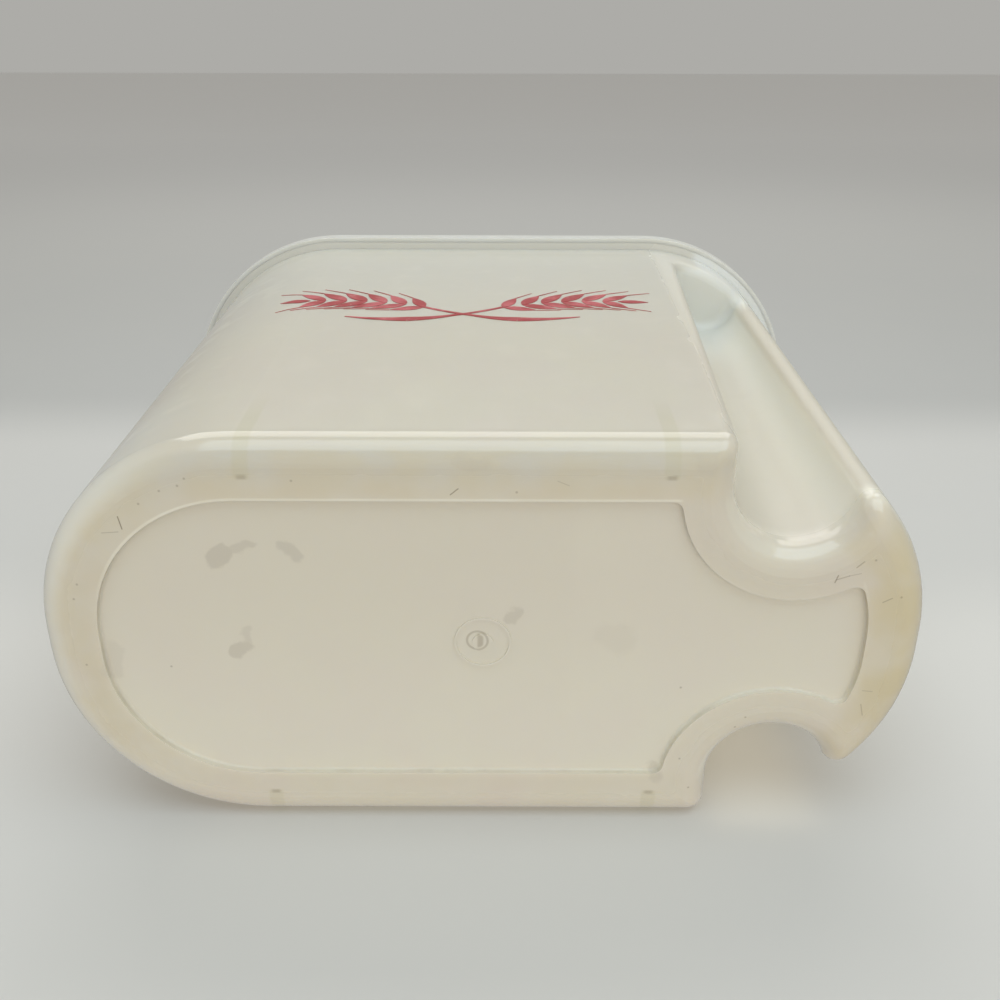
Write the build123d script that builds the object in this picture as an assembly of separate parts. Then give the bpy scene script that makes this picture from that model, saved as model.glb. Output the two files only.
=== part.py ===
from build123d import *
from math import radians, tan
import os

# A cereal keeper: a deep oblong container with a moulded grip, a push-on lid and a flip-up pouring flap.
# Millimetres. +Z is up, the origin is on the table under the middle of the base, the grip is at +X,
# the pouring end is at -X and the printed face is at -Y.

# Container, outside
base_length = 230.0
base_width = 114.5
end_flat = 6.5
wall_draft = 0.73
closed_height = 203.5
wall = 2.0
floor_thickness = 2.2
base_round = 7.0

# Raised panel inside the foot ring
foot_width = 15.5
foot_height = 2.0
groove_margin = 13.0
panel_corner_round = 3.0
panel_step_round = 0.7

# Mark left by the moulding gate, in the middle of the panel
gate_ring_radius = 7.5
gate_ring_width = 0.6
gate_nub_radius = 2.7
gate_depth = 0.35

# Grip: one finger groove in each broad face
groove_radius = 17.0
groove_from_end = 36.0
groove_from_top = 21.5
neck_thickness = 54.4
groove_draft = 1.45
groove_lean = 1.6
groove_roof_round = 4.0
groove_edge_round = 3.5

# Small ribs inside, between the broad walls and the floor
rib_thickness = 3.0
rib_foot = 7.5
rib_height = 34.0
rib_from_end = 57.0
rib_from_groove = 33.0

# Rolled rim round the mouth
rim_overhang = 2.6
rim_height = 4.2
rim_underside = 1.6
rim_top_round = 0.6

# Lid
lid_plate = 1.8
lid_seat_gap = 0.2
skirt_thickness = 1.3
skirt_clearance = 0.4
skirt_height = 6.8
skirt_top_round = 1.4
plug_clearance = 0.35
plug_thickness = 1.4
plug_depth = 8.0
well_depth = 4.4
well_inner_round = 0.8
lift_tab_width = 26.0
lift_tab_reach = 4.5
lift_tab_thickness = 1.6
lift_tab_corner = 4.0

# Pouring mouth in the lid
spout_inset = 16.0
spout_straight = 11.0
spout_corner = 9.0

# Pouring flap and its hinge
flap_seat_gap = 0.2
flap_wall = 1.5
flap_height = 4.0
flap_margin = 9.0
flap_top_round = 0.9
hinge_from_spout = 14.0
barrel_radius = 2.6
barrel_clearance = 0.4
trunnion_radius = 1.5
trunnion_length = 3.0
trunnion_clearance = 0.06
ear_thickness = 4.0
ear_side_clearance = 0.35
hinge_margin = 18.5
spout_ring_clearance = 0.7
spout_ring_thickness = 1.3
spout_ring_depth = 2.2
finger_lip_width = 22.0
finger_lip_reach = 3.0
finger_lip_thickness = 1.4
finger_lip_corner = 2.0

# How far a cutting body runs past what it cuts, and how near two heights or points count as one
cut_past = 1.0
same_place = 0.01

# Worked out from the sizes above
base_corner_radius = (base_width - end_flat) / 2
body_height = closed_height - lid_plate - lid_seat_gap
groove_from_middle = base_length / 2 - groove_from_end
groove_middle_y = neck_thickness / 2 + groove_radius
groove_length = body_height - groove_from_top
rib_positions = (rib_from_end - base_length / 2, groove_from_middle - rib_from_groove)
lid_overhang = rim_overhang + skirt_clearance + skirt_thickness
well_top = closed_height - well_depth
well_bottom = well_top - lid_plate
spout_end = base_corner_radius + spout_straight - base_length / 2
hinge_position = spout_end + hinge_from_spout
hinge_width = base_width - hinge_margin
hinge_height = well_top + barrel_radius + barrel_clearance


def growth(height):
    """How far the drafted wall has moved outward at a height."""
    return height * tan(radians(wall_draft))


def wall_outline(height, inset=0.0):
    """The container's plan outline at a height, moved inward by inset."""
    move = growth(height) - inset
    length = base_length + 2 * move
    width = base_width + 2 * move
    return Pos(0, 0, height) * RectangleRounded(length, width, base_corner_radius + move)


def drafted_block(bottom, top, inset=0.0):
    """A solid between two heights whose sides follow the container's draft."""
    return extrude(wall_outline(bottom, inset), amount=top - bottom, dir=(0, 0, 1), taper=-wall_draft)


def straight_block(outline_height, bottom, top, inset=0.0):
    """A solid with upright sides, on the outline that the wall has at one height."""
    outline = Pos(0, 0, bottom - outline_height) * wall_outline(outline_height, inset)
    return extrude(outline, amount=top - bottom, dir=(0, 0, 1))


def finger_groove(side, thickness=0.0):
    """The space of one finger groove; a thickness makes it larger, for the inside of the wall."""
    radius = groove_radius + thickness
    reach = base_width / 2
    plan = Circle(radius) + Pos(0, side * reach / 2) * Rectangle(2 * radius, reach)
    start = -groove_radius / 2
    top = groove_length + thickness
    column = extrude(Pos(0, 0, start) * plan, amount=top - start, dir=(0, 0, 1), taper=groove_draft)
    roof = column.faces().sort_by(Axis.Z)[-1]
    column = fillet(roof.edges(), groove_roof_round + thickness)
    leaning = Rot(0, groove_lean, 0) * column
    return Pos(groove_from_middle, side * groove_middle_y, 0) * leaning


def corner_edges(block):
    """The upright edges where the finger grooves break out; their roofs' edges run on from them."""
    halfway_out = (groove_middle_y + base_width / 2) / 2
    found = []
    for edge in block.edges():
        rise = edge.bounding_box().size.Z
        if groove_length / 2 < rise < groove_length and abs(edge.center().Y) > halfway_out:
            found.append(edge)
    return found


def grip_form(bottom, top, inset, corner_round, bottom_round):
    """The container's form with both grooves cut and its upright and bottom edges rounded."""
    block = drafted_block(bottom, top, inset)
    for side in (-1, 1):
        block -= finger_groove(side, inset)
    block = fillet(corner_edges(block), corner_round)
    bottom_face = block.faces().sort_by(Axis.Z)[0]
    return fillet(bottom_face.edges(), bottom_round)


def panel_outline(grow=0.0):
    """The raised panel inside the foot ring; grow moves its outline outward."""
    panel = Sketch() + wall_outline(0.0, foot_width - grow)
    margin = groove_radius + groove_margin - grow
    for side in (-1, 1):
        middle = Vector(groove_from_middle, side * groove_middle_y)
        panel -= Pos(middle) * Circle(margin)
        corners = []
        for point in panel.vertices():
            if abs((Vector(point) - middle).length - margin) < same_place:
                corners.append(point)
        panel = fillet(corners, panel_corner_round)
    return panel


def raised_panel(bottom, top, grow=0.0):
    """A plate on the panel's outline, rounded along its top."""
    plate = extrude(Pos(0, 0, bottom) * panel_outline(grow), amount=top - bottom, dir=(0, 0, 1))
    upper = plate.faces().sort_by(Axis.Z)[-1]
    return fillet(upper.edges(), panel_step_round)


def gate_mark():
    """A fine ring and a low nub, proud of the panel towards the table."""
    ring = Circle(gate_ring_radius) - Circle(gate_ring_radius - gate_ring_width)
    marks = Sketch() + ring + Circle(gate_nub_radius)
    return extrude(Pos(0, 0, foot_height - gate_depth) * marks, amount=2 * gate_depth, dir=(0, 0, 1))


def inner_rib(position, side):
    """One three-cornered rib that stiffens the foot of a broad wall from inside."""
    wall_line = base_width / 2 - wall / 2
    foot_line = base_width / 2 - wall - rib_foot
    floor_line = floor_thickness / 2
    profile = Polyline(
        (wall_line, floor_line),
        (foot_line, floor_line),
        (foot_line, floor_thickness),
        (wall_line, rib_height),
        close=True,
    )
    plane = Plane(origin=(position, 0, 0), x_dir=(0, side, 0), z_dir=(side, 0, 0))
    return extrude(plane * make_face(profile), amount=rib_thickness / 2, both=True)


def rim():
    """The outward rim that the lid grips, sloped underneath so that it leaves the mould."""
    bottom = body_height - rim_height
    ring = straight_block(body_height, bottom, body_height, -rim_overhang)
    lower = ring.faces().sort_by(Axis.Z)[0]
    ring = chamfer(lower.edges(), rim_underside)
    upper = ring.faces().sort_by(Axis.Z)[-1]
    ring = fillet(upper.edges(), rim_top_round)
    return ring - drafted_block(bottom - cut_past, body_height + cut_past, wall / 2)


def container():
    """The whole container: outer form, inner space, raised panel, ribs, rim and gate mark."""
    outer = grip_form(0.0, body_height, 0.0, groove_edge_round, base_round)
    inner_round = base_round - wall
    inner = grip_form(floor_thickness, body_height + cut_past, wall, groove_edge_round, inner_round)
    inner -= raised_panel(0.0, foot_height + floor_thickness, floor_thickness)
    body = outer - inner - raised_panel(-foot_height, foot_height)
    for position in rib_positions:
        for side in (-1, 1):
            body += inner_rib(position, side) & outer
    return body + rim() + gate_mark()


def lift_tab(side):
    """A flat tab at one end of the lid, just below its rounded top edge."""
    lid_end = base_length / 2 + growth(body_height) + lid_overhang
    root = lid_end - skirt_thickness / 2
    length = lift_tab_reach + skirt_thickness / 2
    tab = Pos(root + length / 2, 0) * Rectangle(length, lift_tab_width)
    tip = tab.vertices().group_by(Axis.X)[-1]
    tab = fillet(tip, lift_tab_corner)
    if side < 0:
        tab = Rot(0, 0, 180) * tab
    level = closed_height - skirt_top_round - lift_tab_thickness
    return extrude(Pos(0, 0, level) * tab, amount=lift_tab_thickness, dir=(0, 0, 1))


def spout_outline(grow=0.0):
    """The pouring mouth: it follows the lid's end and stops square on the hinge side."""
    round_end = wall_outline(body_height, spout_inset - grow).face()
    half = base_length / 2
    keep = Pos(spout_end + grow - half, 0, body_height) * Rectangle(2 * half, 2 * half)
    shape = Sketch() + (round_end & keep)
    corners = shape.vertices().group_by(Axis.X)[-1]
    return Pos(0, 0, -body_height) * fillet(corners, spout_corner + grow)


def hinge_ear(side):
    """One ear of the flap's hinge, standing on the floor of the lid's well."""
    inner_face = hinge_width / 2 + ear_side_clearance
    outer = barrel_radius + barrel_clearance / 2
    plane = Plane(origin=(hinge_position, side * inner_face, hinge_height), x_dir=(1, 0, 0), z_dir=(0, side, 0))
    down = side * (hinge_height - well_top)
    profile = Circle(outer) + Pos(0, down / 2) * Rectangle(2 * outer, abs(down))
    foot = Pos(0, down) * Rectangle(2 * outer, lid_plate)
    profile = Sketch() + profile + foot
    profile -= Circle(trunnion_radius + trunnion_clearance)
    return extrude(plane * profile, amount=ear_thickness)


def lid():
    """The lid: a channel over the rim, a sunk top, a plug wall inside the mouth and a pouring mouth."""
    outside = straight_block(body_height, closed_height - skirt_height, closed_height, -lid_overhang)
    upper = outside.faces().sort_by(Axis.Z)[-1]
    outside = fillet(upper.edges(), skirt_top_round)
    inset_skirt = -(lid_overhang - skirt_thickness)
    channel_top = closed_height - lid_plate
    hollow = straight_block(body_height, closed_height - skirt_height - cut_past, channel_top, inset_skirt)
    plug_outside = wall + plug_clearance
    plug_inside = plug_outside + plug_thickness
    plug_bottom = channel_top - plug_depth
    plug = drafted_block(plug_bottom, closed_height - lid_plate / 2, plug_outside)
    plug -= drafted_block(plug_bottom - cut_past, well_bottom, plug_inside)
    well = drafted_block(well_top, closed_height + cut_past, plug_inside)
    shell = outside - hollow + plug - well
    level_faces = shell.faces().filter_by(Axis.Z)
    well_floor = [face for face in level_faces if abs(face.center().Z - well_top) < same_place][0]
    shell = fillet(well_floor.outer_wire().edges(), well_inner_round)
    mouth_bottom = well_bottom - cut_past
    mouth_depth = lid_plate + 2 * cut_past
    mouth = extrude(Pos(0, 0, mouth_bottom) * spout_outline(), amount=mouth_depth, dir=(0, 0, 1))
    shell -= mouth
    for side in (-1, 1):
        shell += lift_tab(side)
        shell += hinge_ear(side)
    return shell


def flap_outline(grow=0.0):
    """The flap's plan: it follows the lid's end and runs square back to the hinge."""
    round_end = wall_outline(body_height, flap_margin - grow).face()
    half = base_length / 2
    keep = Pos(hinge_position - half, 0, body_height) * Rectangle(2 * half, hinge_width + 2 * grow)
    shape = Sketch() + (round_end & keep)
    return Pos(0, 0, -body_height) * shape


def finger_lip(top):
    """The lip at the flap's free end, which a fingertip lifts."""
    flap_end = base_length / 2 + growth(body_height) - flap_margin
    length = finger_lip_reach + flap_wall
    lip = Pos(-flap_end - finger_lip_reach + length / 2, 0) * Rectangle(length, finger_lip_width)
    tip = lip.vertices().group_by(Axis.X)[0]
    lip = fillet(tip, finger_lip_corner)
    return extrude(Pos(0, 0, top - finger_lip_thickness) * lip, amount=finger_lip_thickness, dir=(0, 0, 1))


def pour_flap():
    """The flap: a shallow cap with a ring that plugs the pouring mouth, a barrel and two trunnions."""
    bottom = well_top + flap_seat_gap
    cap = extrude(Pos(0, 0, bottom) * flap_outline(), amount=flap_height, dir=(0, 0, 1))
    upper = cap.faces().sort_by(Axis.Z)[-1]
    cap = fillet(upper.edges(), flap_top_round)
    under = flap_height - flap_wall
    cap -= extrude(Pos(0, 0, bottom) * flap_outline(-flap_wall), amount=under, dir=(0, 0, 1))
    ring_plan = spout_outline(-spout_ring_clearance) - spout_outline(-spout_ring_clearance - spout_ring_thickness)
    ring_bottom = well_bottom - spout_ring_depth
    ring = extrude(Pos(0, 0, ring_bottom) * ring_plan, amount=bottom + under - ring_bottom, dir=(0, 0, 1))
    axle = Plane(origin=(hinge_position, 0, hinge_height), x_dir=(1, 0, 0), z_dir=(0, 1, 0))
    barrel = extrude(axle * Circle(barrel_radius), amount=hinge_width / 2, both=True)
    trunnion_span = hinge_width / 2 + trunnion_length
    trunnions = extrude(axle * Circle(trunnion_radius), amount=trunnion_span, both=True)
    lip = finger_lip(bottom + flap_height - flap_top_round)
    return cap + ring + barrel + trunnions + lip


parts = {
    "container": container,
    "lid": lid,
    "pour_flap": pour_flap,
}

os.makedirs("parts", exist_ok=True)
for name, make in parts.items():
    export_step(make(), os.path.join("parts", name + ".step"))
    print(name, "written")
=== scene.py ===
# %% [markdown]
# # A cereal keeper in milky plastic
# The real object is a tall oblong keeper moulded in translucent polypropylene, with a push-on lid
# and a pouring flap. Its solids already have the right shape, so they are loaded as a fixed frame
# and this lesson gives them their finish: aged plastic, a red print, soft light and a camera that
# looks up at the base, because the keeper was photographed lying on one broad side.

# %% Load the solids
import math

import bpy
from mathutils import Matrix, Vector
from mathutils.bvhtree import BVHTree


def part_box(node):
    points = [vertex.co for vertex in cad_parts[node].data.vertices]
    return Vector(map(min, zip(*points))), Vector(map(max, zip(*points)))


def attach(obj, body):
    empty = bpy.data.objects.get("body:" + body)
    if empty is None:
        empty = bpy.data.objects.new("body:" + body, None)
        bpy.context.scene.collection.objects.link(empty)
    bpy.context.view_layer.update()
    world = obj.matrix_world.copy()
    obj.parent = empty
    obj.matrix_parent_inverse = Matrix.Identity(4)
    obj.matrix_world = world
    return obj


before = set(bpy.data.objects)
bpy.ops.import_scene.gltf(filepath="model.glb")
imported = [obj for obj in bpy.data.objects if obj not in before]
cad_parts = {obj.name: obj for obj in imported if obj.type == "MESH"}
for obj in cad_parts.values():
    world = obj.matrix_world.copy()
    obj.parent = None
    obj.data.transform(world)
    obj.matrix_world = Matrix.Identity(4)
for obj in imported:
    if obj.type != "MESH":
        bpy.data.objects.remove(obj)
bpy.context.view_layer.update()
MM = 0.001
OPAQUE = 1.0

# %% [markdown]
# ## Shader maths that reads like arithmetic
# A finish is a sum of masks: where the dirt is, where a hand has rubbed, where the wall is thick.
# Written node by node such sums are hard to read. A small class that wraps one output socket lets
# Python's own operators add the Math nodes, so a mask can be written as `1 - near * soft`.


# %% One wrapped socket
class Wire:
    """One output socket of a node tree; the operators add Math nodes behind it."""

    def __init__(self, nodes, socket):
        self.nodes = nodes
        self.socket = socket

    def maths(self, operation, first, second=0.0):
        return self.nodes.add("ShaderNodeMath", {"operation": operation}, {0: first, 1: second})

    def __add__(self, other):
        return self.maths("ADD", self, other)

    def __radd__(self, other):
        return self.maths("ADD", other, self)

    def __sub__(self, other):
        return self.maths("SUBTRACT", self, other)

    def __rsub__(self, other):
        return self.maths("SUBTRACT", other, self)

    def __mul__(self, other):
        return self.maths("MULTIPLY", self, other)

    def __rmul__(self, other):
        return self.maths("MULTIPLY", other, self)

    def __pow__(self, other):
        return self.maths("POWER", self, other)

    def __abs__(self):
        return self.maths("ABSOLUTE", self)

    def at_least(self, other):
        return self.maths("MAXIMUM", self, other)


print("methods of a wire:", [name for name, item in vars(Wire).items() if callable(item)])


# %% [markdown]
# ## One method for every other node
# Materials and the surroundings are both node trees. One method adds any node to such a tree: it
# sets the node's own settings first, because they can change its sockets, and then feeds the
# sockets with numbers, colours or wires.


# %% The node adder
class Nodes:
    """A node tree and the method that adds to it."""

    def __init__(self, tree):
        self.tree = tree

    def feed(self, socket, value):
        if isinstance(value, Wire):
            self.tree.links.new(value.socket, socket)
        elif isinstance(value, tuple) and len(socket.default_value) == len(value) + 1:
            socket.default_value = (*value, OPAQUE)
        else:
            socket.default_value = value

    def add(self, kind, settings=None, sockets=None, output=0):
        node = self.tree.nodes.new(kind)
        for name, value in (settings or {}).items():
            setattr(node, name, value)
        for key, value in (sockets or {}).items():
            self.feed(node.inputs[key], value)
        return Wire(self, node.outputs[output])


# %% [markdown]
# ## A finish
# Each material is a Principled shader with constants on its own sockets. Whatever changes over the
# surface is built from the point's place on the piece, in millimetres, so the marks stay where they
# are when the piece moves, and every size below can be checked with a ruler.

# %% Sockets of the colour mixer
MIX_AMOUNT, MIX_FIRST, MIX_SECOND, MIX_RESULT = 0, 6, 7, 2
print("the mixer gives its colour on output", MIX_RESULT)


# %% The material maker
class Finish(Nodes):
    """A material on one Principled shader."""

    def __init__(self, name, **constants):
        self.material = bpy.data.materials.new(name)
        self.material.use_nodes = True
        super().__init__(self.material.node_tree)
        self.shader = self.tree.nodes["Principled BSDF"]
        for socket, value in constants.items():
            self.feed(self.shader.inputs[socket.replace("_", " ")], value)
        place = self.add("ShaderNodeTexCoord", output="Object")
        self.point = self.vector("SCALE", place, Scale=1 / MM)
        parts = self.add("ShaderNodeSeparateXYZ", sockets={0: self.point}).socket.node.outputs
        self.x, self.y, self.z = [Wire(self, part) for part in parts]

    def vector(self, operation, first, second=(0, 0, 0), output=0, **named):
        sockets = {0: first, 1: second, **named}
        return self.add("ShaderNodeVectorMath", {"operation": operation}, sockets, output)

    def mix(self, amount, first, second):
        """Colour first where amount is 0, and second where it is 1."""
        sockets = {MIX_AMOUNT: amount, MIX_FIRST: first, MIX_SECOND: second}
        return self.add("ShaderNodeMix", {"data_type": "RGBA"}, sockets, MIX_RESULT)

    def noise(self, size, detail=2.0, point=None, output=0):
        """Cloudy noise whose lumps are about size millimetres across."""
        sockets = {"Vector": point or self.point, "Scale": 1 / size, "Detail": detail}
        return self.add("ShaderNodeTexNoise", None, sockets, output)

    def rise(self, value, low, high):
        """0 below low, 1 above high, smooth between."""
        sockets = {"Value": value, "From Min": low, "From Max": high}
        return self.add("ShaderNodeMapRange", {"interpolation_type": "SMOOTHSTEP"}, sockets)

    def near(self, value, half_width, softness):
        """1 where value is within half_width of zero, fading out over softness."""
        return 1 - self.rise(abs(value), half_width, half_width + softness)

    def finish_with(self, colour, roughness, bump=None, bump_depth=0.0):
        self.feed(self.shader.inputs["Base Color"], colour)
        self.feed(self.shader.inputs["Roughness"], roughness)
        if bump:
            sockets = {"Height": bump, "Distance": bump_depth * MM}
            self.feed(self.shader.inputs["Normal"], self.add("ShaderNodeBump", None, sockets))
        return self.material


def srgb(red, green, blue):
    """A colour as 0 to 255 values on a screen, turned into the linear values that shaders use."""
    def linear(value):
        share = value / 255
        return share / 12.92 if share <= 0.04045 else ((share + 0.055) / 1.055) ** 2.4
    return (linear(red), linear(green), linear(blue))


print("milk white in linear values:", [round(c, 3) for c in srgb(214, 210, 194)])

# %% [markdown]
# ## The keeper's own sizes
# The marks on the plastic follow its form: the foot ring, the ribs behind the wall, the finger
# grooves. So the sizes they need are named once, in millimetres, next to what the solids say.

# %% Sizes that the marks follow
length, width, height = [(high - low) / MM for low, high in zip(*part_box("container"))]
base_half_length = 115.0
base_half_width = 57.25
end_round = 54.0
foot_ring = 15.5
panel_height = 2.0
groove_place = (79.0, 44.2)
groove_radius = 17.0
groove_margin = 13.0
rib_places = (-58.0, 46.0)
rib_half_thickness = 1.5
rib_foot_line = 47.75
rib_height = 34.0
gate_place = (-1.4, -0.6)
gate_nub = 2.7
print("container with its rim:", [round(size, 1) for size in (length, width, height)], "mm")

# %% [markdown]
# ## Where a point lies on the base
# Dirt gathers by distance: from the outline, from the finger grooves, from a scratch. Each distance
# is a few nodes. The outline is a rectangle with round corners, so the distance inside it is the
# corner radius less the distance from the corner's centre.


# %% Distances over the base
def inside_outline(finish):
    """Millimetres inside the base's outline, measured square to it."""
    past_x = (abs(finish.x) - (base_half_length - end_round)).at_least(0.0)
    past_y = (abs(finish.y) - (base_half_width - end_round)).at_least(0.0)
    return end_round - (past_x * past_x + past_y * past_y) ** 0.5


def from_groove(finish):
    """Millimetres from the middle line of the nearer finger groove, at the base."""
    along = finish.x - groove_place[0]
    across = abs(finish.y) - groove_place[1]
    return (along * along + across * across) ** 0.5


def flat_point(finish, point=None):
    """The point with its height taken out."""
    return finish.vector("MULTIPLY", point or finish.point, (1, 1, 0))


def spot(finish, flat, place, radius, softness):
    """1 inside a round patch on the base."""
    far = finish.vector("DISTANCE", flat, (*place, 0), output="Value")
    return finish.near(far, radius, softness)


def stroke(finish, flat, start, end, half_width, softness):
    """1 on a straight scratch between two places on the base."""
    way = (end[0] - start[0], end[1] - start[1], 0)
    reach = way[0] ** 2 + way[1] ** 2
    local = finish.vector("SUBTRACT", flat, (*start, 0))
    share = finish.vector("DOT_PRODUCT", local, way, output="Value") * (1 / reach)
    share.socket.node.use_clamp = True
    nearest = finish.vector("SCALE", way, Scale=share)
    far = finish.vector("DISTANCE", local, nearest, output="Value")
    return finish.near(far, half_width, softness)


print("the base's corners are round over", end_round, "mm")

# %% [markdown]
# ## Aged milky polypropylene
# The container's plastic lets light soak in and spread, which subsurface scattering gives. Its tone
# is painted: a cream one near the thick base and a chalkier one towards the mouth. Years of use
# have yellowed the edges, rubbed grey smudges into the base, left black hair scratches and packed
# dirt along the step of the foot ring. A photograph's worth of such tones could be painted on a
# map, but masks made from distances stay sharp at any size, so each layer below is one tone and the
# mask that lays it.

# %% Tones of the container
cream = srgb(212, 205, 187)
rosy = srgb(211, 202, 187)
chalky = srgb(212, 212, 203)
painted_light_cream = srgb(228, 224, 208)
painted_light_white = srgb(234, 234, 226)
shaded_cream = srgb(200, 193, 176)
dull = srgb(186, 185, 177)
painted_light_pale = srgb(244, 242, 230)
yellowed = srgb(201, 189, 156)
smudge_grey = srgb(186, 179, 164)
dirt = srgb(122, 108, 84)
rib_tone = srgb(190, 184, 152)
print("cream in linear values:", [round(c, 3) for c in cream])

# %% [markdown]
# ## Small marks on the base
# Smudges, hair scratches and specks of dirt lie where use has left them, so each has its own place
# on the base, read in millimetres from its middle. A smudge and a scratch are strokes: a start, an
# end, half a width, how soft the edge is and how strong the mark.

# %% Places of the small marks
smudges = (
    ((-67.2, -24.0), (-65.4, -26.2), 2.1, 1.0, 0.60),
    ((-64.5, -26.6), (-59.0, -28.6), 0.9, 1.0, 0.50),
    ((-49.6, -28.6), (-47.4, -25.4), 0.8, 1.3, 0.50),
    ((-64.8, 3.8), (-62.6, 1.4), 1.5, 1.1, 0.55),
    ((-62.2, 0.6), (-60.8, -3.4), 0.7, 1.2, 0.35),
    ((7.6, -7.4), (9.4, -9.4), 0.9, 1.2, 0.50),
    ((33.0, -2.0), (36.0, -1.0), 2.4, 3.5, 0.14),
    ((47.4, 41.6), (48.4, 43.0), 0.8, 1.6, 0.40),
    ((52.6, -51.4), (55.6, -50.8), 0.9, 2.2, 0.25),
    ((-4.6, -52.0), (0.8, -51.6), 1.1, 1.6, 0.30),
    ((-97.0, 2.0), (-98.0, 9.0), 1.4, 1.8, 0.22),
)
scratches = (
    ((-89.4, -37.4), (-88.8, -34.0), 0.06, 0.80),
    ((-94.0, -32.9), (-89.9, -33.2), 0.03, 0.40),
    ((-7.6, -43.6), (-5.7, -45.2), 0.06, 0.65),
    ((18.4, -47.3), (21.2, -46.1), 0.03, 0.30),
    ((89.0, -19.4), (89.6, -21.4), 0.08, 0.60),
    ((89.4, -20.2), (92.4, -21.3), 0.05, 0.45),
    ((92.4, -21.3), (95.3, -22.0), 0.04, 0.35),
    ((93.9, -23.7), (95.6, -25.4), 0.05, 0.50),
    ((102.0, -13.6), (104.2, -14.8), 0.06, 0.50),
    ((101.0, 18.0), (101.9, 21.6), 0.05, 0.40),
    ((100.8, 13.6), (103.4, 13.9), 0.04, 0.35),
)
specks = (
    (-83.8, -40.9), (-78.3, -44.4), (-73.7, -45.8), (-71.8, -47.7), (-102.6, -18.2),
    (-104.1, -13.9), (-104.1, 6.1), (-82.6, 7.9), (-46.0, -47.2), (8.5, -44.3), (28.5, -41.3),
    (52.9, 14.2), (70.6, 22.4), (98.4, -25.8), (106.5, -15.1), (68.2, 25.9), (53.9, 36.4),
    (57.1, 46.6),
)
print(len(smudges), "smudges,", len(scratches), "scratches,", len(specks), "specks")


# %% [markdown]
# ## Masks that the layers share
# The grip, the base and the foot ring come back in several layers. Their masks are made once. A
# pair of numbers is where a mask starts and where it is full, or for `near` half the width of a
# band and its softness, all in millimetres.

# %% The shared masks
under_levels = (2.6, 5.0)
groove_band = (15.0, 6.0)
flank_start = (84.0, 95.0)
above_base_round = (8.0, 14.0)
below_roof = (165.0, 180.0)
grip_edge_middle = 101.3
grip_edge_band = (5.0, 1.3)
grip_edge_side = (35.0, 40.0)


class Places:
    """Where a point of the container lies, as distances and masks."""

    def __init__(self, finish):
        self.flat = flat_point(finish)
        self.inside = inside_outline(finish)
        self.groove = from_groove(finish)
        self.under = 1 - finish.rise(finish.z, *under_levels)
        self.in_groove = finish.near(self.groove, *groove_band)
        self.flank = finish.rise(finish.x, *flank_start)
        self.above_round = finish.rise(finish.z, *above_base_round)
        self.upright = self.above_round * (1 - finish.rise(finish.z, *below_roof))
        side = finish.rise(abs(finish.y), *grip_edge_side)
        edge = finish.near(finish.x - grip_edge_middle, *grip_edge_band)
        self.grip_edge = edge * side * self.upright


print("the outer edge of the grip is worn about", grip_edge_middle, "mm from the middle")


# %% [markdown]
# ## The tall walls
# The walls are a cloudy cream below and chalkier above, where the wall is thin and dry. The mouth,
# and the roof in which each finger groove ends, are painted almost white: painted light that lifts
# the shade under the lid's skirt and in the roofs.

# %% Lay the wall's tones
wall_cloud_size = 34.0
wall_clouds = (0.40, 0.64)
chalk_levels = (60.0, 195.0)
roof_levels = (160.0, 172.0)
roof_band = (15.0, 5.0)
roof_depth = (54.0, 58.0)
mouth_levels = (187.0, 197.0)
mouth_strength, roof_strength = 0.9, 0.3


def wall_tones(finish, places):
    clouds = finish.noise(wall_cloud_size, 3.0)
    tone = finish.mix(finish.rise(clouds, *wall_clouds), cream, rosy)
    tone = finish.mix(finish.rise(finish.z, *chalk_levels), tone, chalky)
    # painted light: the roofs of the grooves and the mouth are mixed towards white to lift their
    # shade
    roof = finish.rise(finish.z, *roof_levels) * finish.near(places.groove, *roof_band)
    roof = roof * (1 - finish.rise(abs(finish.y), *roof_depth))
    mouth = finish.rise(finish.z, *mouth_levels)
    return finish.mix((mouth_strength * mouth).at_least(roof_strength * roof), tone, painted_light_white)


print("the wall turns chalky between", chalk_levels, "mm up")


# %% [markdown]
# ## The grip
# The neck between the finger grooves is thin, so light passes; that light is painted, as a lighter
# tone. The inner side of each groove is painted darker, as painted shade. The flank towards the end
# is painted lighter, as painted light, and its outer edge is worn dull and painted darker, as
# painted shade over its highlight.

# %% Lay the grip's tones
neck_start = (58.0, 84.0)
neck_foot = (1.0, 9.0)
neck_top = (140.0, 180.0)
groove_shade_top = (130.0, 165.0)
neck_light_strength = 0.75
groove_shade_strength = 0.75
flank_light_strength = 0.4
edge_shade_strength = 0.9


def grip_tones(finish, places, tone):
    neck = finish.rise(finish.x, *neck_start) * finish.rise(finish.z, *neck_foot)
    neck = neck * (1 - finish.rise(finish.z, *neck_top))
    fingered = places.in_groove * (1 - places.flank)
    # painted light: the thin neck is lighter where light passes through it
    tone = finish.mix((neck_light_strength - neck_light_strength * fingered) * neck, tone, painted_light_cream)
    # painted shade: the inner side of the groove is darker
    shaded = fingered * places.above_round * (1 - finish.rise(finish.z, *groove_shade_top))
    tone = finish.mix(groove_shade_strength * shaded, tone, shaded_cream)
    # painted light: the flank towards the end is lighter
    flank_light = places.in_groove * places.flank * places.upright * (1 - places.grip_edge)
    tone = finish.mix(flank_light_strength * flank_light, tone, painted_light_pale)
    # painted shade: the grip's outer edge is darker, over its highlight
    return finish.mix(edge_shade_strength * places.grip_edge, tone, shaded_cream)


print("fingers have soiled the grooves up to", groove_shade_top[1], "mm")


# %% [markdown]
# ## The base and the broad front
# The inset plate of the base is painted lighter than the wall, as painted light that lifts its
# shade. The front half and the broad wall are painted a little darker, as painted shade, and along
# the front the edge of the foot ring carries a thin painted highlight.

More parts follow.
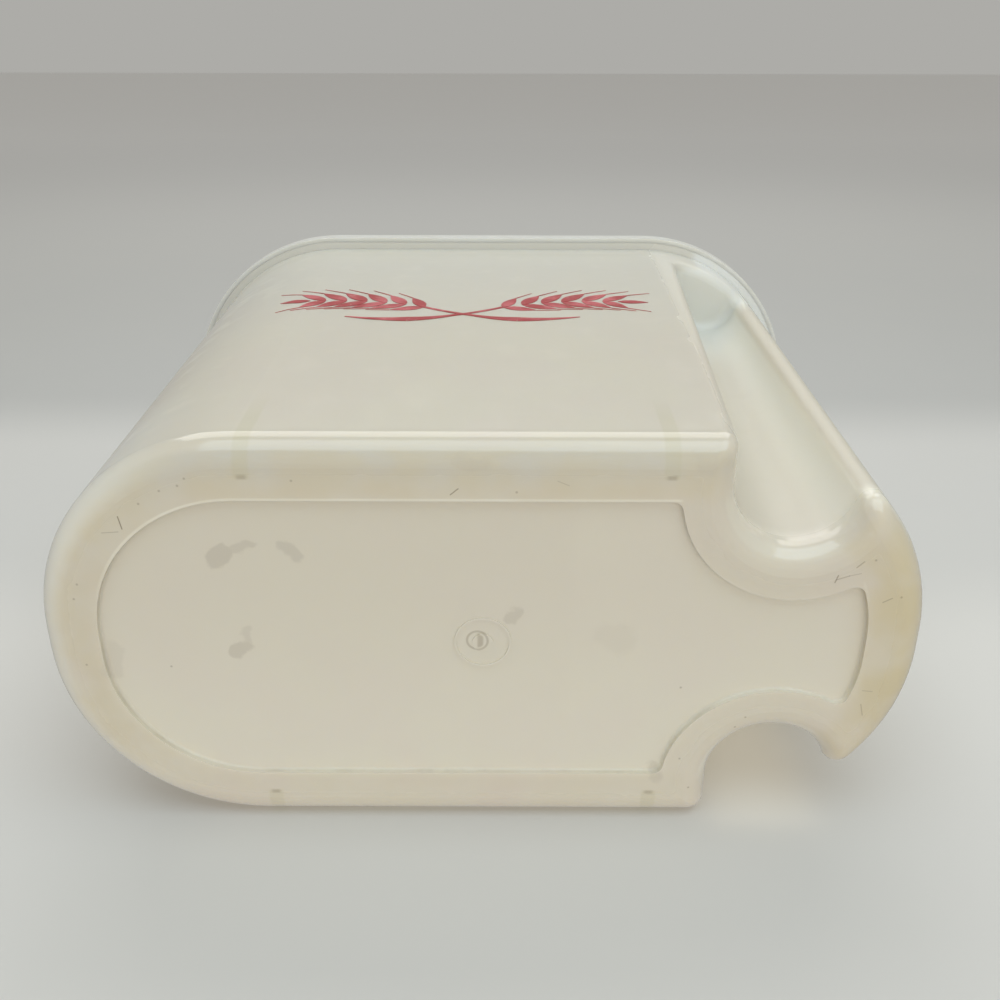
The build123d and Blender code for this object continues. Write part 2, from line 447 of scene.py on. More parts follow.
# %% Lay the base's tones
plate_levels = (0.8, 1.6)
plate_start = (12.0, 17.0)
front_fade = (-30.0, 45.0)
broad_depth = (54.0, 57.0)
broad_end = (20.0, 40.0)
broad_grip = (80.0, 84.0)
ring_edge_shift = 0.4
ring_edge_band = (0.15, 0.35)
ring_edge_fade = (-34.0, -8.0)
ring_edge_clear = (29.5, 31.0)
plate_strength = 0.45
front_strength = 0.45
broad_share = 1.15
ring_edge_strength = 0.6


def base_tones(finish, places, tone):
    inside, groove, under = places.inside, places.groove, places.under
    # painted light: the inset plate is lightened
    plate = under * finish.rise(finish.z, *plate_levels) * finish.rise(inside, *plate_start)
    tone = finish.mix(plate_strength * plate, tone, painted_light_cream)
    # painted shade: the front half and the broad wall are darkened
    front_half = 1 - finish.rise(finish.y, *front_fade)
    broad = finish.rise(abs(finish.y), *broad_depth).at_least(1 - finish.rise(finish.x, *broad_end))
    broad = broad * (1 - finish.rise(finish.x, *broad_grip))
    front_shade = front_strength * front_half * under.at_least(broad_share * broad)
    tone = finish.mix(front_shade, tone, shaded_cream)
    # painted highlight: a thin light line along the front edge of the foot ring
    ring_edge = finish.near(inside - foot_ring + ring_edge_shift, *ring_edge_band)
    ring_edge = ring_edge * (1 - finish.rise(finish.y, *ring_edge_fade))
    ring_edge = ring_edge * under * finish.rise(groove, *ring_edge_clear)
    return finish.mix(ring_edge_strength * ring_edge, tone, painted_light_cream)


print("the inset plate starts", plate_start[0], "mm inside the outline")


# %% [markdown]
# ## Age
# The plastic has yellowed in clouds on the foot ring and most at the round end of the grip, where
# it is thick. The front of the ring is dull grey from standing, and the left end is painted to a
# whitish edge, as painted light.

# %% Lay the tones of age
ring_levels = (0.8, 2.8)
ring_width = (12.0, 18.0)
front_ring_width = (4.0, 14.0)
front_ring_fade = (-50.0, -36.0)
bulb_start = (92.0, 108.0)
back_start = (30.0, 50.0)
age_cloud_size = 16.0
age_clouds = (0.30, 0.62)
left_start = (70.0, 105.0)
left_width = (2.5, 8.0)
left_top = (20.0, 60.0)
dull_strength = 0.5
ring_age, ring_age_less_at_back = 0.38, 0.30
bulb_age, bulb_age_in_clouds = 0.30, 0.25
left_strength = 0.5


def aged_tones(finish, places, tone):
    inside = places.inside
    flat_ring = 1 - finish.rise(finish.z, *ring_levels)
    ring = flat_ring * (1 - finish.rise(inside, *ring_width))
    front_ring = flat_ring * (1 - finish.rise(inside, *front_ring_width))
    front_ring = front_ring * (1 - finish.rise(finish.y, *front_ring_fade))
    tone = finish.mix(dull_strength * front_ring, tone, dull)
    bulb = finish.rise(finish.x, *bulb_start) * places.under
    back = finish.rise(finish.y, *back_start)
    cloudy = finish.rise(finish.noise(age_cloud_size, 2.0), *age_clouds)
    ring_part = (ring_age - ring_age_less_at_back * back) * ring * cloudy
    bulb_part = (bulb_age + bulb_age_in_clouds * cloudy) * bulb
    tone = finish.mix(ring_part + bulb_part, tone, yellowed)
    # painted light: the round left end is lightened to a whitish edge
    left_round = finish.rise(0 - finish.x, *left_start) * (1 - finish.rise(inside, *left_width))
    left_round = left_round * (1 - finish.rise(finish.z, *left_top))
    return finish.mix(left_strength * left_round, tone, painted_light_white)


print("the ring has yellowed over", ring_width[1], "mm from the edge")


# %% [markdown]
# ## The ribs that show through
# Four ribs stand behind the broad walls. The milky wall shows each one as a faint yellow bar that
# fades upwards, with a small dark foot. The ribs are solid, but the shine through the wall is
# painted, because tracing light through the wall would take far more time for the same look.

# %% Lay the ribs' marks
rib_side = (rib_foot_line - 0.6, rib_foot_line + 0.6)
rib_fade = (0.4 * rib_height, rib_height)
rib_band = (rib_half_thickness, 0.9)
rib_foot_width = (0.5, 1.3)
rib_foot_depth = (0.2, 0.8)
rib_foot_shift = 0.4
rib_strength, rib_foot_strength = 0.30, 0.35


def rib_tones(finish, tone):
    side = finish.rise(abs(finish.y), *rib_side)
    low = 1 - finish.rise(finish.z, *rib_fade)
    foot = finish.near(abs(finish.y) - (rib_foot_line + rib_foot_shift), *rib_foot_depth)
    bars = 0.0
    feet = 0.0
    for place in rib_places:
        across = finish.x - place
        bars = bars + finish.near(across, *rib_band)
        feet = feet + finish.near(across, *rib_foot_width) * foot
    tone = finish.mix(rib_strength * (bars * side * low), tone, rib_tone)
    return finish.mix(rib_foot_strength * (feet * low), tone, dirt)


print("ribs at", rib_places, "mm shine through up to", rib_fade[1], "mm")


# %% [markdown]
# ## The step of the panel
# The inset panel meets the foot ring in a small step, which follows the outline and swings round
# the finger grooves. The step is lightened, most on its lit part, as painted light that lifts its
# shade, and dirt has packed into it in places.

# %% The step's mask
step_reach = (0.2 * panel_height, 0.25 * panel_height)
step_band = (2.0, 2.0)
step_from_edge = (9.0, 11.0)
step_from_groove = (25.0, 27.0)
lit_depth = (5.0, 25.0)
lit_start = (50.0, 70.0)
step_strength, lit_strength = 0.1, 0.4


def panel_step(finish, places):
    step = finish.near(finish.z - 0.5 * panel_height, *step_reach)
    round_panel = finish.near(places.inside - foot_ring, *step_band)
    round_groove = finish.near(places.groove - groove_radius - groove_margin, *step_band)
    step = step * round_panel.at_least(round_groove)
    step = step * finish.rise(places.inside, *step_from_edge)
    return step * finish.rise(places.groove, *step_from_groove)


print("the step is", panel_height, "mm high,", foot_ring, "mm inside the outline")


# %% [markdown]
# ## Smudges, dirt and scratches
# Grey smudges are soft strokes whose line is shaken by noise, so that no edge runs straight.
# Scratches and specks are fine and dark. The mark of the moulding gate is a nub with a dark rim and
# a bar across.

# %% Masks of the marks
packed_cloud_size = 7.0
packed_clouds = (0.46, 0.70)
nub_edge_band = (0.12, 0.35)
slug_middle = -0.6
slug_band = (0.35, 0.8)
slug_reach = (1.6, 2.4)
scratch_softness = 0.18
packed_strength, nub_strength, slug_strength = 0.12, 0.35, 0.40
speck_radius, speck_softness, speck_strength = 0.12, 0.35, 0.45
shake_size, shake_reach = 5.0, 6.0


def smudge_mask(finish, places):
    wander = finish.noise(shake_size, 3.0, output="Color")
    wander = finish.vector("SUBTRACT", wander, (0.5, 0.5, 0.5))
    shift = finish.vector("SCALE", wander, Scale=shake_reach)
    wobbly = flat_point(finish, finish.vector("ADD", places.flat, shift))
    grime = 0.0
    for start, end, half_width, softness, strength in smudges:
        smudge = strength * stroke(finish, wobbly, start, end, half_width, softness)
        grime = smudge.at_least(grime)
    return grime


def dark_marks(finish, places, step):
    flat, under = places.flat, places.under
    packed = step * finish.rise(finish.noise(packed_cloud_size, 3.0), *packed_clouds)
    gate = finish.vector("DISTANCE", flat, (*gate_place, 0), output="Value")
    nub_edge = finish.near(gate - gate_nub, *nub_edge_band)
    bar = finish.near(finish.x - slug_middle, *slug_band)
    cold_slug = bar * (1 - finish.rise(gate, *slug_reach))
    gate_marks = nub_strength * nub_edge + slug_strength * cold_slug
    marks = packed_strength * packed + under * gate_marks
    for start, end, half_width, strength in scratches:
        scratch = stroke(finish, flat, start, end, half_width, scratch_softness)
        marks = marks + strength * under * scratch
    for place in specks:
        speck = spot(finish, flat, place, speck_radius, speck_softness)
        marks = marks + speck_strength * under * speck
    return marks


print("noise shakes the smudges by up to", shake_reach / 2, "mm")


# %% [markdown]
# ## Gloss
# The moulded round edges keep their polish and mirror the lamps as bright lines. Hands have dulled
# the grooves, and standing on shelves has dulled the foot ring and the plate.

# %% The container's roughness
rub_cloud_size = 12.0
rub_clouds = (0.5, 0.75)
scuff_from_edge = (6.5, 10.0)
scuff_from_groove = (23.5, 27.0)
gripped_levels = (7.5, 12.0)
gripped_middle = 10.0
gripped_band = (9.0, 5.0)
round_from_edge = (5.0, 6.5)
round_from_groove = (22.0, 23.5)
round_levels = (7.0, 10.0)
moulded_roughness = 0.17
rounded_shine = 0.06
rubbed_dullness = 0.08
scuffed_dullness = 0.16
grime_dullness = 0.15
handled_dullness = 0.25
step_dullness = 0.3


def container_roughness(finish, places, grime, step):
    inside, groove, under = places.inside, places.groove, places.under
    rubbed = finish.rise(finish.noise(rub_cloud_size, 4.0), *rub_clouds)
    scuffed = under * finish.rise(inside, *scuff_from_edge)
    scuffed = scuffed * finish.rise(groove, *scuff_from_groove)
    gripped = finish.rise(finish.z, *gripped_levels)
    gripped = gripped * finish.near(groove - gripped_middle, *gripped_band)
    rounded = 1 - finish.rise(inside, *round_from_edge)
    rounded = rounded.at_least(1 - finish.rise(groove, *round_from_groove))
    rounded = rounded * (1 - finish.rise(finish.z, *round_levels))
    roughness = moulded_roughness - rounded_shine * rounded
    roughness = roughness + rubbed_dullness * rubbed * (1 - rounded)
    roughness = roughness + scuffed_dullness * scuffed + grime_dullness * grime * under
    roughness = roughness + handled_dullness * gripped.at_least(places.grip_edge)
    return roughness + step_dullness * step


print("moulded plastic has roughness", moulded_roughness)


# %% [markdown]
# ## All layers together
# The layers go on from the bottom up: the plastic's own tone with its painted light and shade
# first, then age, what shines through, smudges, the painted light on the step, and dirt last. A
# bump of seven hundredths of a millimetre gives the slow waves that thin moulded walls have.

# %% The container's plastic
wave_size, wave_depth = 16.0, 0.07
ripple_size, ripple_share = 2.2, 0.01


def plastic_of_container():
    finish = Finish(
        "aged_milky_polypropylene", IOR=1.49, Specular_IOR_Level=0.85, Subsurface_Weight=0.30,
        Subsurface_Scale=0.006, Subsurface_Radius=(1.0, 0.85, 0.6),
    )
    places = Places(finish)
    tone = wall_tones(finish, places)
    for layer in (grip_tones, base_tones, aged_tones):
        tone = layer(finish, places, tone)
    tone = rib_tones(finish, tone)
    grime = smudge_mask(finish, places)
    tone = finish.mix(grime * places.under, tone, smudge_grey)
    step = panel_step(finish, places)
    # painted light: the step is lightened, most on its lit part, to lift its shade
    lit = finish.rise(finish.y, *lit_depth) * finish.rise(finish.x, *lit_start)
    tone = finish.mix(step * (step_strength + lit_strength * lit), tone, painted_light_pale)
    tone = finish.mix(dark_marks(finish, places, step), tone, dirt)
    waves = finish.noise(wave_size, 2.0) + ripple_share * finish.noise(ripple_size, 2.0)
    roughness = container_roughness(finish, places, grime, step)
    return finish.finish_with(tone, roughness, waves, wave_depth)


container_plastic = plastic_of_container()
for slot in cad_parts["container"].material_slots:
    slot.material = container_plastic
print("container finish:", len(container_plastic.node_tree.nodes), "nodes")

# %% [markdown]
# ## The lid and the flap
# Lids of such keepers are moulded in softer polyethylene: whiter, a little waxy, with a fine satin
# grain and rubbed edges where fingers lift the tabs. The same finish serves both pieces, because
# both would be moulded from one bag of granules.

# %% Tones and bands of the lid
white = srgb(215, 215, 208)
warm_white = srgb(213, 212, 202)
skirt_shade_white = srgb(203, 202, 195)
lid_cloud_size = 28.0
lid_clouds = (0.40, 0.62)
dust_size = 3.5
dust_clouds = (0.56, 0.74)
tab_reach = (104.0, 126.0)
tab_cloud_size = 9.0
tab_clouds = (0.40, 0.65)
skirt_foot = (196.8, 197.2)
skirt_top = (201.0, 203.0)
dust_strength, tab_strength, skirt_strength = 0.12, 0.22, 0.8
satin_roughness, dust_dullness, tab_dullness = 0.34, 0.12, 0.06
grain_size, sag_size, sag_share, grain_depth = 0.9, 18.0, 2.5, 0.05
print("lid white in linear values:", [round(c, 3) for c in white])


# %% The lid's plastic
def plastic_of_lid():
    finish = Finish(
        "satin_white_polyethylene", IOR=1.51, Subsurface_Weight=0.30, Subsurface_Scale=0.004,
        Subsurface_Radius=(1.0, 0.9, 0.75),
    )
    clouds = finish.noise(lid_cloud_size, 3.0)
    tone = finish.mix(finish.rise(clouds, *lid_clouds), white, warm_white)
    dust = finish.rise(finish.noise(dust_size, 4.0), *dust_clouds)
    tone = finish.mix(dust_strength * dust, tone, smudge_grey)
    reach = finish.rise(abs(finish.x), *tab_reach)
    fingered = reach * finish.rise(finish.noise(tab_cloud_size, 3.0), *tab_clouds)
    tone = finish.mix(tab_strength * fingered, tone, yellowed)
    # painted shade: the lid's skirt is darkened
    skirt = finish.rise(finish.z, *skirt_foot) * (1 - finish.rise(finish.z, *skirt_top))
    tone = finish.mix(skirt_strength * skirt, tone, skirt_shade_white)
    roughness = satin_roughness + dust_dullness * dust + tab_dullness * reach
    relief = finish.noise(grain_size, 2.0) + sag_share * finish.noise(sag_size, 2.0)
    return finish.finish_with(tone, roughness, relief, grain_depth)


lid_plastic = plastic_of_lid()
for node in ("lid", "pour_flap"):
    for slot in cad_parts[node].material_slots:
        slot.material = lid_plastic
print("lid finish:", len(lid_plastic.node_tree.nodes), "nodes")

# %% [markdown]
# ## A bead in the lid's channel and a lip under the rim
# A real lid stretches over the rim and shuts tight, while the solids keep a small play so that the
# lid can move. A thin soft bead inside the skirt closes that play, and a rolled lip fills the slope
# under the rim, so no dark line shows round the mouth. Both follow the rim's outline: a rectangle
# with round corners, drawn as closed loops.

# %% Sizes of the bead and the lip
corner_middle = (base_half_length - end_round, base_half_width - end_round)
rim_round = length / 2 - corner_middle[0]
bead_play = 0.025
bead_thickness = 0.36
bead_levels = (196.72, 199.6)
lip_bottom, lip_top = 196.72, 198.8
lip_round = 0.12
lip_depth = 3.0
corner_steps = 64
corner_sides = ((1, 1), (-1, 1), (-1, -1), (1, -1))
print("radius of the rim's corners:", round(rim_round, 2), "mm")


# %% Rings from loops
def loop(radius, level):
    """A closed loop of points round the mouth at one level."""
    points = []
    for quarter, (side_x, side_y) in enumerate(corner_sides):
        for step in range(corner_steps + 1):
            angle = math.pi / 2 * (quarter + step / corner_steps)
            x = side_x * corner_middle[0] + radius * math.cos(angle)
            y = side_y * corner_middle[1] + radius * math.sin(angle)
            points.append(Vector((x, y, level)) * MM)
    return points


def piece_of_mesh(name, corners, faces, material):
    """A new object with this mesh and this material, in the scene."""
    mesh = bpy.data.meshes.new(name)
    mesh.from_pydata(corners, [], faces)
    mesh.materials.append(material)
    made = bpy.data.objects.new(name, mesh)
    bpy.context.collection.objects.link(made)
    return made


def closed_ring(name, section, material):
    """A ring whose cross-section runs through the given radii and levels and back to the first."""
    loops = [loop(radius, level) for radius, level in section]
    count = len(loops[0])
    faces = []
    for row in range(len(loops)):
        here, beyond = row * count, (row + 1) % len(loops) * count
        for i in range(count):
            after = (i + 1) % count
            faces.append([here + i, here + after, beyond + after, beyond + i])
    return piece_of_mesh(name, [point for row in loops for point in row], faces, material)


print("one loop has", len(loop(rim_round, lip_top)), "points")


# %% Lay the bead and the lip
inner, outer = rim_round + bead_play, rim_round + bead_play + bead_thickness
low, high = bead_levels
section = ((inner, high), (inner, low), (outer, low), (outer, high))
bead = closed_ring("sealing_bead", section, lid_plastic)
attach(bead, "lid")
section = (
    (rim_round, lip_top), (rim_round, lip_bottom + lip_round), (rim_round - lip_round, lip_bottom),
    (rim_round - lip_depth, lip_bottom), (rim_round - lip_depth, lip_top),
)
lip = closed_ring("rolled_rim_lip", section, container_plastic)
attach(lip, "container")
print("bead and lip:", len(bead.data.polygons) + len(lip.data.polygons), "faces")

# %% [markdown]
# ## The red print
# The broad front carries a print in one red ink. Here it is a plain pair of wheat ears with crossed
# stalks, the common sign for cereal. Ink has almost no thickness, yet a mesh a tenth of a
# millimetre thick keeps crisp edges from any distance and exports as a real shape. Every outline is
# drawn flat and then laid on the wall by shooting a ray at it, so the print follows the round end.

# %% Sizes of the print
print_middle = (-8.0, 117.0)
print_proud = 0.12
print_thickness = 0.09
tile_lift = 0.0004
ear_pairs = 6
grain_length = 12.0
grain_width = 4.2
grain_angle = math.radians(42)
grain_bulge = 0.8
small_grain, grain_growth = 0.85, 0.25
awn_length = 8.0
awn_widths = (0.5, 0.2)
awn_fan = 0.55
stalk_width = 1.7
stalk_taper = 0.8
stalk_line, stalk_steps = ((-17, -17), (0, -13), (13, -3)), 10
axis_line = ((13, -3), (32, 7), (54, 4))
last_grain_back = 2.0
leaf_line, leaf_steps = ((1, -11), (16, -21), (38, -14)), 8
leaf_widths = (1.0, 4.2, 0.5)
wall_ray_start = -0.2
print("one ear is about", axis_line[-1][0] - axis_line[0][0], "mm long without its last grain")


# %% Flat outlines
def grain_outline(root, direction, size=1.0, points=7):
    """A pointed oval: two arcs of a sine between its ends."""
    along = Vector((math.cos(direction), math.sin(direction)))
    across = Vector((-along.y, along.x))
    outline = []
    for side in (1, -1):
        for step in range(points):
            share = step / points
            share = share if side > 0 else 1 - share
            bulge = side * math.sin(math.pi * share ** grain_bulge) * 0.5 * grain_width * size
            outline.append(root + along * (share * grain_length * size) + across * bulge)
    return outline


def ribbon_outline(line, start_width, end_width):
    """A strip that tapers along a line of points."""
    left, right = [], []
    for index, point in enumerate(line):
        before, after = line[max(index - 1, 0)], line[min(index + 1, len(line) - 1)]
        along = (after - before).normalized()
        across = Vector((-along.y, along.x))
        share = index / (len(line) - 1)
        half = 0.5 * (start_width + (end_width - start_width) * share)
        left.append(point + across * half)
        right.append(point - across * half)
    return left, right


def curve_points(start, handle, end, count):
    """Points of a quadratic curve from start to end, pulled towards handle."""
    found = []
    for step in range(count + 1):
        t = step / count
        found.append(start * (1 - t) ** 2 + handle * (2 * t * (1 - t)) + end * t ** 2)
    return found


print("one grain has", len(grain_outline(Vector((0, 0)), 0.0)), "corners")


# %% Lay outlines on the wall
class Print:
    """Collects thin tiles of ink and lays them on the wall, each a hair above the one before."""

    def __init__(self):
        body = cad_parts["container"]
        self.wall = BVHTree.FromObject(body, bpy.context.evaluated_depsgraph_get())
        self.corners, self.faces = [], []
        self.proud = print_proud

    def on_wall(self, flat):
        """The wall's point straight behind a flat point, and the wall's outward direction there."""
        start = Vector((flat.x * MM, wall_ray_start, flat.y * MM))
        place, normal, _, _ = self.wall.ray_cast(start, Vector((0, 1, 0)))
        return place, normal

    def tile(self, outline):
        """One closed tile of ink with this outline, as a front, a back and a rim."""
        first = len(self.corners)
        self.proud += tile_lift
        for proud in (self.proud, self.proud - print_thickness):
            for flat in outline:
                place, normal = self.on_wall(flat)
                self.corners.append(place + normal * proud * MM)
        count = len(outline)
        self.faces.append([first + i for i in range(count)])
        self.faces.append([first + count + i for i in reversed(range(count))])
        for i in range(count):
            after = (i + 1) % count
            self.faces.append([first + i, first + count + i, first + count + after, first + after])

    def strip(self, line, start_width, end_width):
        """A tapering strip, made of one tile for each step of its line."""
        left, right = ribbon_outline(line, start_width, end_width)
        for i in range(len(line) - 1):
            self.tile([right[i], right[i + 1], left[i + 1], left[i]])

    def piece(self, name, material):
        """All tiles together as one object."""
        return piece_of_mesh(name, self.corners, self.faces, material)


# %% Draw one ear of wheat
def draw_ear(ink, side):
    """One ear with its stalk and leaf; side is 1 for the right one and -1 for the left one."""
    middle = Vector(print_middle)

    def points_of(line):
        return [middle + Vector((side * u, v)) for u, v in line]

    def aim(angle):
        return angle if side > 0 else math.pi - angle

    def arrow(angle):
        return Vector((math.cos(angle), math.sin(angle)))

    def tile(outline):
        ink.tile(outline if side > 0 else outline[::-1])

    stalk = curve_points(*points_of(stalk_line), stalk_steps)
    ink.strip(stalk, stalk_width, stalk_taper * stalk_width)
    axis = curve_points(*points_of(axis_line), ear_pairs)
    for index, point in enumerate(axis[:-1]):
        ahead = axis[index + 1] - point
        lie = math.atan2(ahead.y, abs(ahead.x))
        size = small_grain + grain_growth * math.sin(math.pi * (index + 1.5) / (ear_pairs + 2))
        for turn in (1, -1):
            direction = aim(lie + turn * grain_angle)
            tile(grain_outline(point, direction, size))
            tip = point + arrow(direction) * grain_length * size
            end = tip + arrow(aim(lie + awn_fan * turn * grain_angle)) * awn_length * size
            ink.strip([tip, (tip + end) / 2, end], *awn_widths)
    tile(grain_outline(axis[-1] - Vector((side * last_grain_back, 0)), aim(lie), small_grain))
    leaf = curve_points(*points_of(leaf_line), leaf_steps)
    middle_point = leaf_steps // 2
    ink.strip(leaf[:middle_point + 1], *leaf_widths[:2])
    ink.strip(leaf[middle_point:], *leaf_widths[1:])


# %% Print in red ink
red = srgb(160, 14, 26)
faded = srgb(186, 74, 80)
faded_size, faded_clouds = 8.0, (0.42, 0.66)
worn_size, worn_specks = 1.3, (0.60, 0.72)
worn_strength = 0.25
ink_roughness, worn_dullness = 0.36, 0.2
ink_grain_size, ink_depth = 0.8, 0.02


def red_ink():
    """One flat red, thinner in clouds and at worn specks, so that the plastic shows through."""
    finish = Finish("worn_red_ink", IOR=1.5)
    tone = finish.mix(finish.rise(finish.noise(faded_size, 3.0), *faded_clouds), red, faded)
    worn = finish.rise(finish.noise(worn_size, 4.0), *worn_specks)
    tone = finish.mix(worn_strength * worn, tone, cream)
    roughness = ink_roughness + worn_dullness * worn
    return finish.finish_with(tone, roughness, finish.noise(ink_grain_size, 2.0), ink_depth)


ink = Print()
for side in (1, -1):
    draw_ear(ink, side)
wheat = ink.piece("printed_wheat_ears", red_ink())
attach(wheat, "container")
print("print:", len(wheat.data.polygons), "faces")

# %% [markdown]
# ## Table and floor
# In the photograph the keeper lies on a pale table on its back broad side, while the model stands
# upright. So two planes are needed: the table behind the broad side, and a floor under the base.
# Each shows its upper side alone and lets light through, so neither hides the keeper from below or
# from behind. The table keeps the keeper's shadow.

# %% Places of the two planes
table_foot = (57.7, 7.0)
table_top = (64.5, 200.0)
table_lean = math.atan2(table_top[0] - table_foot[0], table_top[1] - table_foot[1])
floor_drop = 0.4
paper_roughness = 0.9
plane_reach = 6000.0
floor_reach = 900.0
table_low = -1500.0
paper_near = srgb(210, 208, 203)
paper_side = srgb(198, 197, 193)
paper_middle = srgb(178, 178, 175)
paper_far = srgb(236, 235, 232)
side_levels = (90.0, 170.0)
middle_levels = (290.0, 390.0)
far_levels = (500.0, 2200.0)
fleck_size, fleck_amount = 60.0, 0.05
print("table leans", round(math.degrees(table_lean), 2), "degrees from upright")


# %% One-sided planes
def one_sided(finish, colour):
    """Matt paper from the front and nothing from behind."""
    material = finish.finish_with(colour, paper_roughness)
    out = finish.tree.nodes["Material Output"].inputs["Surface"]
    behind = finish.add("ShaderNodeNewGeometry", output="Backfacing")
    clear = finish.add("ShaderNodeBsdfTransparent")
    paper = Wire(finish, finish.shader.outputs[0])
    finish.feed(out, finish.add("ShaderNodeMixShader", None, {0: behind, 1: paper, 2: clear}))
    return material


def stage_plane(name, corners, material):
    """A sheet of paper that only the camera sees, so it throws nothing on the keeper."""
    corners = [Vector(corner) * MM for corner in corners]
    made = piece_of_mesh(name, corners, [(0, 1, 2, 3)], material)
    made.visible_diffuse = made.visible_glossy = made.visible_transmission = False
    made.visible_shadow = False
    return made


def table_y(z):
    """How far back the leaning table lies at a height, in millimetres."""
    return table_foot[0] + (z - table_foot[1]) * math.tan(table_lean)


def flecked(finish, tone):
    """The tone with faint cream clouds."""
    return finish.mix(fleck_amount * finish.noise(fleck_size, 3.0), tone, cream)


# %% Lay the table and the floor
paper = Finish("pale_table_paper")
# painted shade and light: the paper greys from the side up to the middle heights, standing in for a
# rising wall in less light, and turns pale far off, making up for lamp light that falls off with
# distance
paper_tone = paper.mix(paper.rise(paper.z, *side_levels), paper_near, paper_side)
paper_tone = paper.mix(paper.rise(paper.z, *middle_levels), paper_tone, paper_middle)
paper_tone = paper.mix(paper.rise(paper.z, *far_levels), paper_tone, paper_far)
table_material = one_sided(paper, flecked(paper, paper_tone))
table_corners = [
    (side * plane_reach, table_y(level), level)
    for side, level in ((-1, table_low), (1, table_low), (1, plane_reach), (-1, plane_reach))
]
table = stage_plane("table", table_corners, table_material)

floor_finish = Finish("pale_floor_paper")
floor_tone = flecked(floor_finish, paper_near)
floor_corners = [
    (side * floor_reach, end * floor_reach, -floor_drop)
    for side, end in ((-1, -1), (1, -1), (1, 1), (-1, 1))
]
floor = stage_plane("floor", floor_corners, one_sided(floor_finish, floor_tone))
print("planes:", table.name, "and", floor.name)

# %% [markdown]
# ## Soft light
# Two long soft lamps over the broad front stand in for a window and a ceiling lamp. Their mirror
# images are the two bright lines along the rounded edge of the base. Two large ones stand in for
# pale walls, one facing the base and one behind, and a small one lights the lid from above. A very
# weak one in the rear finger groove stands in for the light that soaks through the thin neck and
# warms the shade on the table. Only the first two show in the gloss.


# %% Soft lamps
lamp_aim = (0, -20, 60)


def soft_lamp(name, direction, distance, size, power, colour):
    """An oblong lamp that shines from this direction at the keeper's front."""
    data = bpy.data.lights.new(name, "AREA")
    data.shape = "RECTANGLE"
    data.size, data.size_y = size
    data.energy = power
    data.color = colour
    lamp = bpy.data.objects.new(name, data)
    away = Vector(direction).normalized()
    lamp.location = Vector(lamp_aim) * MM + away * distance
    lamp.rotation_euler = away.to_track_quat("Z", "Y").to_euler()
    lamp.visible_camera = False
    bpy.context.collection.objects.link(lamp)
    return lamp


# %% Place the lamps
warm_light = (1.0, 0.97, 0.92)
cool_light = (0.74, 0.89, 1.0)
plain_light = (1.0, 1.0, 1.0)
amber_light = (1.0, 0.93, 0.76)
glow_place = (groove_place[0], 50.0, 32.0)
ceiling_spread = 50

# each lamp: name, direction, distance and size in metres, watts, colour, and whether gloss shows it
lamp_plan = (
    ("window_over_the_front", (0.0, -0.743, 0.669), 1.2, (1.6, 0.78), 6.2, warm_light, True),
    ("ceiling_over_the_front", (0.12, -0.94, -0.29), 1.2, (1.6, 1.0), 7.5, cool_light, True),
    ("pale_wall_under_the_base", (0.1, -0.17, -1.0), 1.5, (1.6, 1.2), 11.2, warm_light, False),
    ("pale_wall_behind", (0.3, 0.9, 0.3), 2.0, (2.4, 2.4), 16.0, plain_light, False),
    ("pale_ceiling_over_the_lid", (0.0, -0.3, 1.0), 1.2, (0.4, 0.25), 0.18, plain_light, False),
    ("glow_through_the_grip", (0, -1, 0), 0.1, (0.03, 0.07), 0.0019, amber_light, False),
)
lamps = {}
for name, direction, distance, size, watts, colour, shows in lamp_plan:
    lamps[name] = soft_lamp(name, direction, distance, size, watts, colour)
    lamps[name].visible_glossy = shows
lamps["pale_ceiling_over_the_lid"].data.spread = math.radians(ceiling_spread)
lamps["glow_through_the_grip"].location = Vector(glow_place) * MM
print("lamps:", list(lamps))

# %% [markdown]
# ## Surroundings
# An even pale light fills the shade. The camera, and whatever the gloss mirrors, sees a plain grey
# wall instead of that light, so the background keeps its tone however bright the light is.

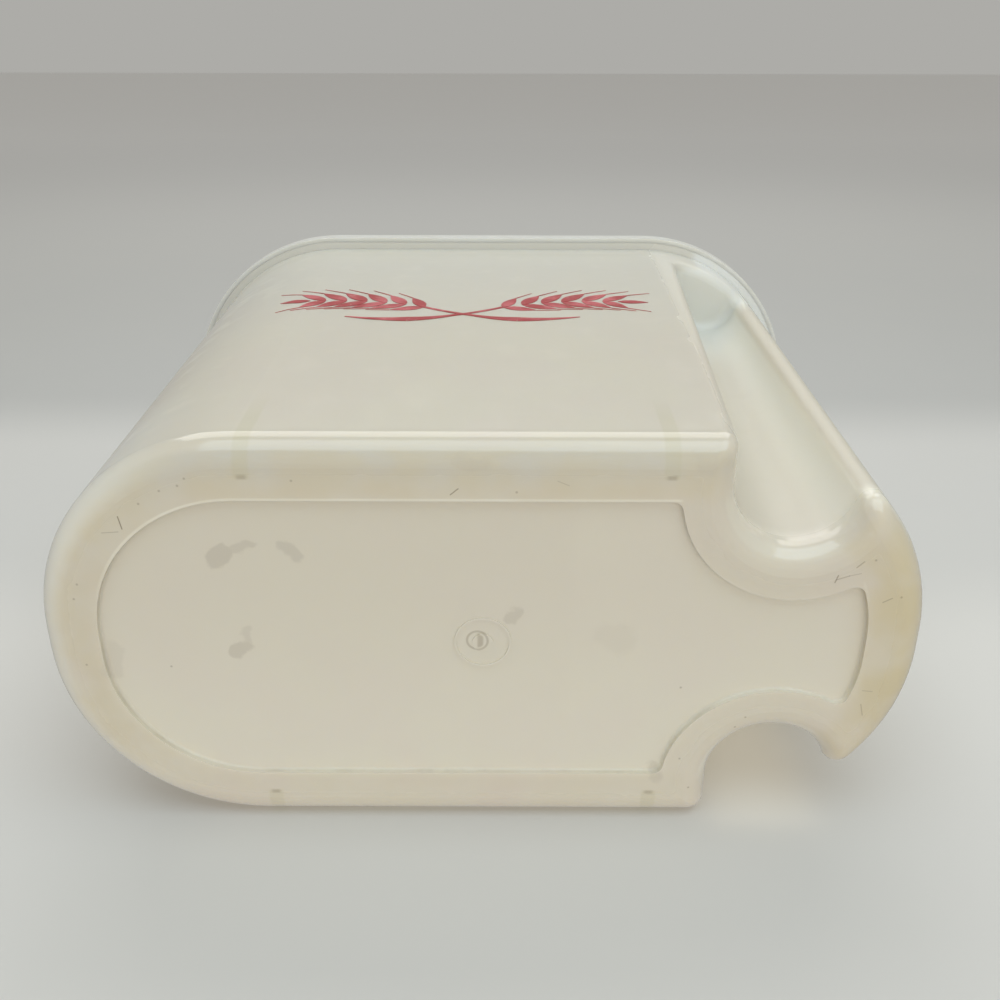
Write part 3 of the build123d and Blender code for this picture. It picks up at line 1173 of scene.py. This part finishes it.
# %% Light and wall all round
even_light = (1.0, 0.985, 0.95)
even_strength = 0.44
wall_grey = srgb(173, 172, 168)

surroundings = bpy.data.worlds.new("pale_surroundings")
bpy.context.scene.world = surroundings
surroundings.use_nodes = True
sky = Nodes(surroundings.node_tree)
light = sky.tree.nodes["Background"]
sky.feed(light.inputs["Color"], even_light)
sky.feed(light.inputs["Strength"], even_strength)
wall = sky.add("ShaderNodeBackground", None, {"Color": wall_grey})
camera_rays = sky.add("ShaderNodeLightPath", output="Is Camera Ray")
rays = camera_rays.socket.node.outputs
mirrored = Wire(sky, rays["Is Glossy Ray"]).at_least(Wire(sky, rays["Is Transmission Ray"]))
shows_wall = camera_rays.at_least(mirrored)
sockets = {0: shows_wall, 1: Wire(sky, light.outputs[0]), 2: wall}
seen = sky.add("ShaderNodeMixShader", None, sockets)
sky.feed(sky.tree.nodes["World Output"].inputs["Surface"], seen)
print("surroundings:", len(sky.tree.nodes), "nodes")

# %% [markdown]
# ## Camera
# The camera looks up at the base and along the printed face, as in the photograph. Its place and
# its angle were measured from the outline of the base and of the rim, and the image's upward
# direction is the keeper's front.

# %% Place the camera
camera_place = Vector((4.93, -154.83, -235.35)) * MM
camera_forward = Vector((-0.0018, 0.4316, 0.9021)).normalized()
camera_upward = Vector((-0.0027, -0.9021, 0.4316))
focal_share = 1.072656
sensor_width = 36.0
nearest_seen, farthest_seen = 0.01, 20.0

sideways = camera_forward.cross(camera_upward).normalized()
upward = sideways.cross(camera_forward)
turn = Matrix((sideways, upward, -camera_forward)).transposed()
camera_data = bpy.data.cameras.new("photograph_view")
camera_data.sensor_width = sensor_width
camera_data.lens = focal_share * sensor_width
camera_data.clip_start, camera_data.clip_end = nearest_seen, farthest_seen
camera = bpy.data.objects.new("photograph_view", camera_data)
camera.matrix_world = Matrix.Translation(camera_place) @ turn.to_4x4()
bpy.context.collection.objects.link(camera)
bpy.context.scene.camera = camera
bpy.context.scene.view_settings.view_transform = "Standard"
print("lens", round(camera_data.lens, 2), "mm")
